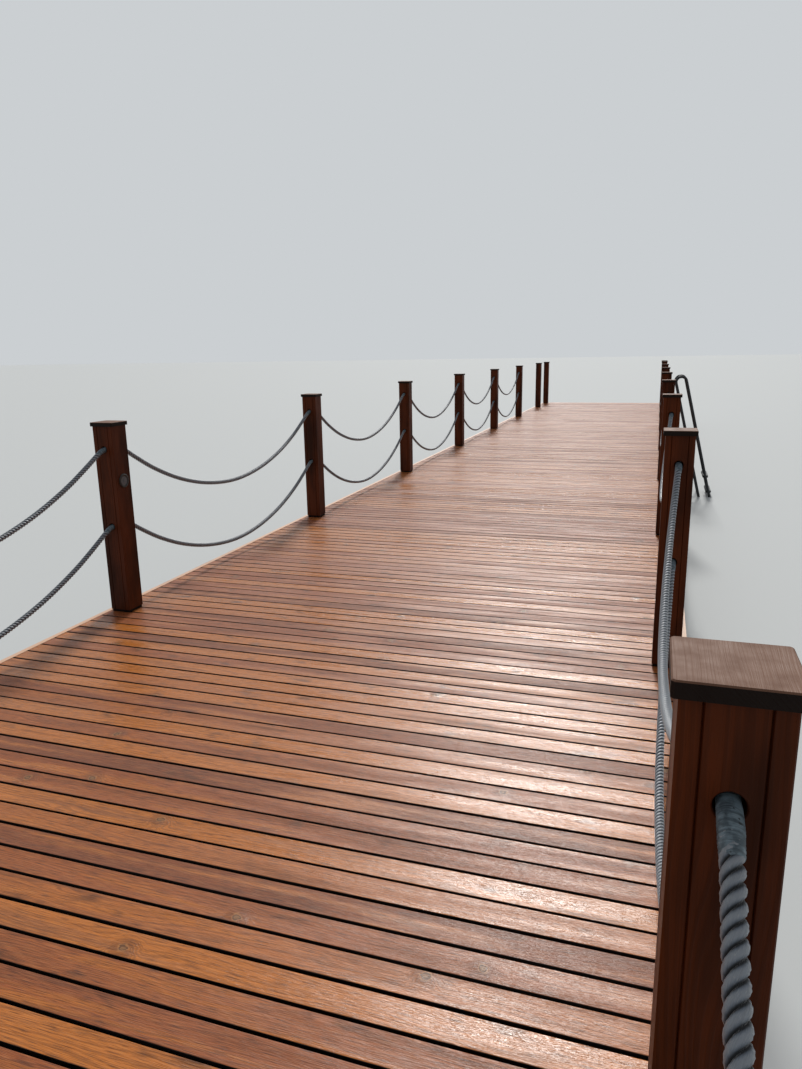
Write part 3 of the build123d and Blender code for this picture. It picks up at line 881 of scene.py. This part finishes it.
class JETTY_OT_metalwork(bpy.types.Operator):
    """Finishes the bathing ladder and the post light, and bolts the ladder's flanges on"""
    bl_idname = "jetty.metalwork"
    bl_label = "Ladder and post light"

    def execute(self, context):
        metal = context.scene.jetty.metal
        paint = ladder_paint(metal, "painted_steel_tube", metal.tube)
        for node in ("ladder_sides", "ladder_arms", "ladder_treads"):
            finish_node(node, paint)
        finish_node("light_ring", ladder_paint(metal, "painted_cast_ring", metal.ring))
        finish_node("light_lens", lens_frost(metal))
        low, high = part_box("ladder_arms")
        middle = np.array([low.x + FLANGE, (low.y + high.y) / 2, (low.z + high.z) / 2])
        ring = BOLT_CIRCLE * np.stack([0 * BOLT_TURNS, np.cos(BOLT_TURNS), np.sin(BOLT_TURNS)], 1)
        places = np.concatenate([middle + (0, aside, 0) + ring
                                 for aside in (-LADDER_HALF, LADDER_HALF)])
        zinc = ladder_paint(metal, "galvanised_bolt_heads", metal.bolt)
        stand(bolt_heads("flange_bolts", places), [zinc], "ladder_metal")
        return {"FINISHED"}


class JETTY_OT_stage(bpy.types.Operator):
    """Sets up the camera, the soft lamps, the floor and the backdrop"""
    bl_idname = "jetty.stage"
    bl_label = "Stage"

    def execute(self, context):
        stage = context.scene.jetty.stage
        scene = context.scene
        data = bpy.data.cameras.new("photo_view")
        data.lens, data.sensor_width, data.clip_end = stage.focal, LONG_SIDE, SIGHT_LIMIT
        camera = bpy.data.objects.new("photo_view", data)
        scene.collection.objects.link(camera)
        pitch, yaw, roll = radians(CAMERA_DOWN), radians(CAMERA_LEFT), radians(CAMERA_OVER)
        ahead = Vector((-sin(yaw) * cos(pitch), cos(yaw) * cos(pitch), -sin(pitch)))
        level = Vector((cos(yaw), sin(yaw), 0.0))
        down = ahead.cross(level)
        right = cos(roll) * level + sin(roll) * down
        up = sin(roll) * level - cos(roll) * down
        turn = Matrix((right, up, -ahead)).transposed().to_4x4()
        camera.matrix_world = Matrix.Translation(CAMERA_PLACE) @ turn
        scene.camera = camera

        lamp = bpy.data.lights.new("broad_key", "SUN")
        lamp.energy, lamp.angle, lamp.color = stage.key, radians(KEY_WIDTH), KEY_TINT
        key = bpy.data.objects.new("broad_key", lamp)
        scene.collection.objects.link(key)
        azimuth, height = radians(KEY_LEFT), radians(KEY_HEIGHT)
        towards = Vector((-sin(azimuth) * cos(height), cos(azimuth) * cos(height), sin(height)))
        key.matrix_world = towards.to_track_quat("Z", "Y").to_matrix().to_4x4()

        world = bpy.data.worlds.new("studio")
        scene.world = world
        world.use_nodes = True
        tree = world.node_tree
        tree.nodes.clear()
        rays = add(tree, "LightPath").node.outputs
        mirrored = add(tree, "Math", {0: rays["Is Glossy Ray"], 1: rays["Is Transmission Ray"]},
                       operation="MAXIMUM")
        seen = add(tree, "Math", {0: rays["Is Camera Ray"], 1: mirrored}, operation="MAXIMUM")
        light = add(tree, "Background", {"Color": stage.fill_tint, "Strength": stage.fill})
        sight = add(tree, "Background", {"Color": stage.sky, "Strength": 1.0})
        both = add(tree, "MixShader", {0: seen, 1: light, 2: sight})
        add(tree, "OutputWorld", {"Surface": both})

        corners = FLOOR_REACH * np.array([(-1.0, -1, 0), (1, -1, 0), (1, 1, 0), (-1, 1, 0)])
        ground = solid("floor", corners, np.array([[0, 1, 2, 3]]))
        ground.materials.append(finish("plain_floor", {"Base Color": stage.floor,
                                                       "Roughness": 0.9})[0])
        floor = bpy.data.objects.new("floor", ground)
        scene.collection.objects.link(floor)
        scene.view_settings.view_transform = "Standard"
        return {"FINISHED"}


class JETTY_PT_panel(bpy.types.Panel):
    """Lists the jetty's pieces and their settings"""
    bl_idname = "JETTY_PT_panel"
    bl_label = "Wooden jetty"
    bl_space_type = "VIEW_3D"
    bl_region_type = "UI"
    bl_category = "Jetty"

    def draw(self, context):
        settings = context.scene.jetty
        for operator, group in ((JETTY_OT_stage, "stage"), (JETTY_OT_ropes, "ropes"),
                                (JETTY_OT_deck_boards, "deck"), (JETTY_OT_timber, "timber"),
                                (JETTY_OT_metalwork, "metal")):
            box = self.layout.box()
            box.operator(operator.bl_idname)
            chosen = getattr(settings, group)
            for name in chosen.__annotations__:
                box.prop(chosen, name)


CLASSES = (JettyDeck, JettyTimber, JettyRopes, JettyMetal, JettyStage, JettySettings,
           JETTY_OT_stage, JETTY_OT_ropes, JETTY_OT_deck_boards, JETTY_OT_timber,
           JETTY_OT_metalwork, JETTY_PT_panel)


def register():
    """Registers the classes and the scene's settings."""
    for one in CLASSES:
        bpy.utils.register_class(one)
    bpy.types.Scene.jetty = PointerProperty(type=JettySettings)


def unregister():
    """Takes the settings and the classes away again."""
    del bpy.types.Scene.jetty
    for one in reversed(CLASSES):
        bpy.utils.unregister_class(one)


def main():
    """Makes the stage and every piece."""
    register()
    bpy.ops.jetty.stage()
    bpy.ops.jetty.ropes()
    bpy.ops.jetty.deck_boards()
    bpy.ops.jetty.timber()
    bpy.ops.jetty.metalwork()
    bpy.context.view_layer.update()


if __name__ == "__main__":
    main()
